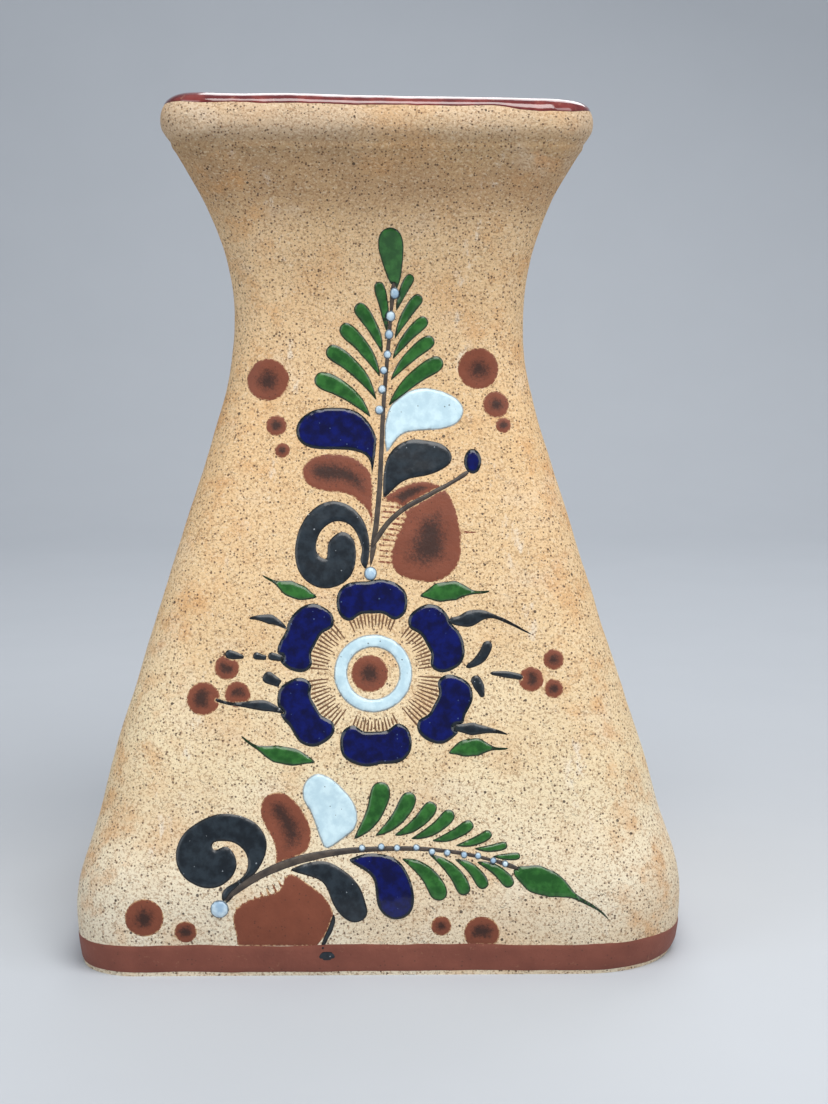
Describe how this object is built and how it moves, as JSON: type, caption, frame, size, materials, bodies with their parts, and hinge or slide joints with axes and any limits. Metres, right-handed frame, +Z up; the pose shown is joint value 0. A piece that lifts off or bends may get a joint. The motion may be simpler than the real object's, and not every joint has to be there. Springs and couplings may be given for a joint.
{
  "type": "pottery vase",
  "caption": "Square hourglass-shaped pottery flower vase: leaning clay slabs on a floor slab, a rolled lip coil, a glazed mouth and raised enamel flowers.",
  "frame": {"origin": "middle of the foot, on the table", "axes": "+Z up through the mouth, the main painted face looks along -Y"},
  "size_m": [0.1872, 0.1878, 0.265],
  "materials": {
    "clay": "matte, speckled",
    "maroon_glaze": "gloss",
    "clear_glaze": "gloss",
    "band_slip": "matte",
    "rust_slip": "matte",
    "charcoal_enamel": "satin",
    "cobalt_enamel": "gloss",
    "white_enamel": "gloss",
    "green_enamel": "satin",
    "umber_line": "satin",
    "pearl_enamel": "gloss"
  },
  "bodies": {
    "root": {"back_charcoal": "charcoal_enamel", "back_cobalt": "cobalt_enamel", "back_green": "green_enamel", "back_pearl": "pearl_enamel", "back_rust": "rust_slip", "back_umber": "umber_line", "back_wall": "clay", "back_white": "white_enamel", "floor_slab": "clay", "foot_band": "band_slip", "front_berries": "rust_slip", "front_bud": "cobalt_enamel", "front_charcoal_petals": "charcoal_enamel", "front_cobalt_petals": "cobalt_enamel", "front_dots": "rust_slip", "front_drip": "charcoal_enamel", "front_flower_eye": "rust_slip", "front_flower_fringe": "umber_line", "front_flower_petals": "cobalt_enamel", "front_flower_ring": "white_enamel", "front_lower_heart_leaf": "rust_slip", "front_lower_leaves": "green_enamel", "front_lower_pearls": "pearl_enamel", "front_lower_scroll": "charcoal_enamel", "front_lower_stem": "umber_line", "front_rust_petals": "rust_slip", "front_side_leaves": "green_enamel", "front_ticks": "charcoal_enamel", "front_twig": "umber_line", "front_upper_heart_leaf": "rust_slip", "front_upper_leaves": "green_enamel", "front_upper_pearls": "pearl_enamel", "front_upper_scroll": "charcoal_enamel", "front_upper_stem": "umber_line", "front_wall": "clay", "front_white_petals": "white_enamel", "left_wall": "clay", "liner_glaze": "clear_glaze", "lip_coil": "clay", "right_wall": "clay", "rim_glaze": "maroon_glaze"}
  },
  "joints": []
}
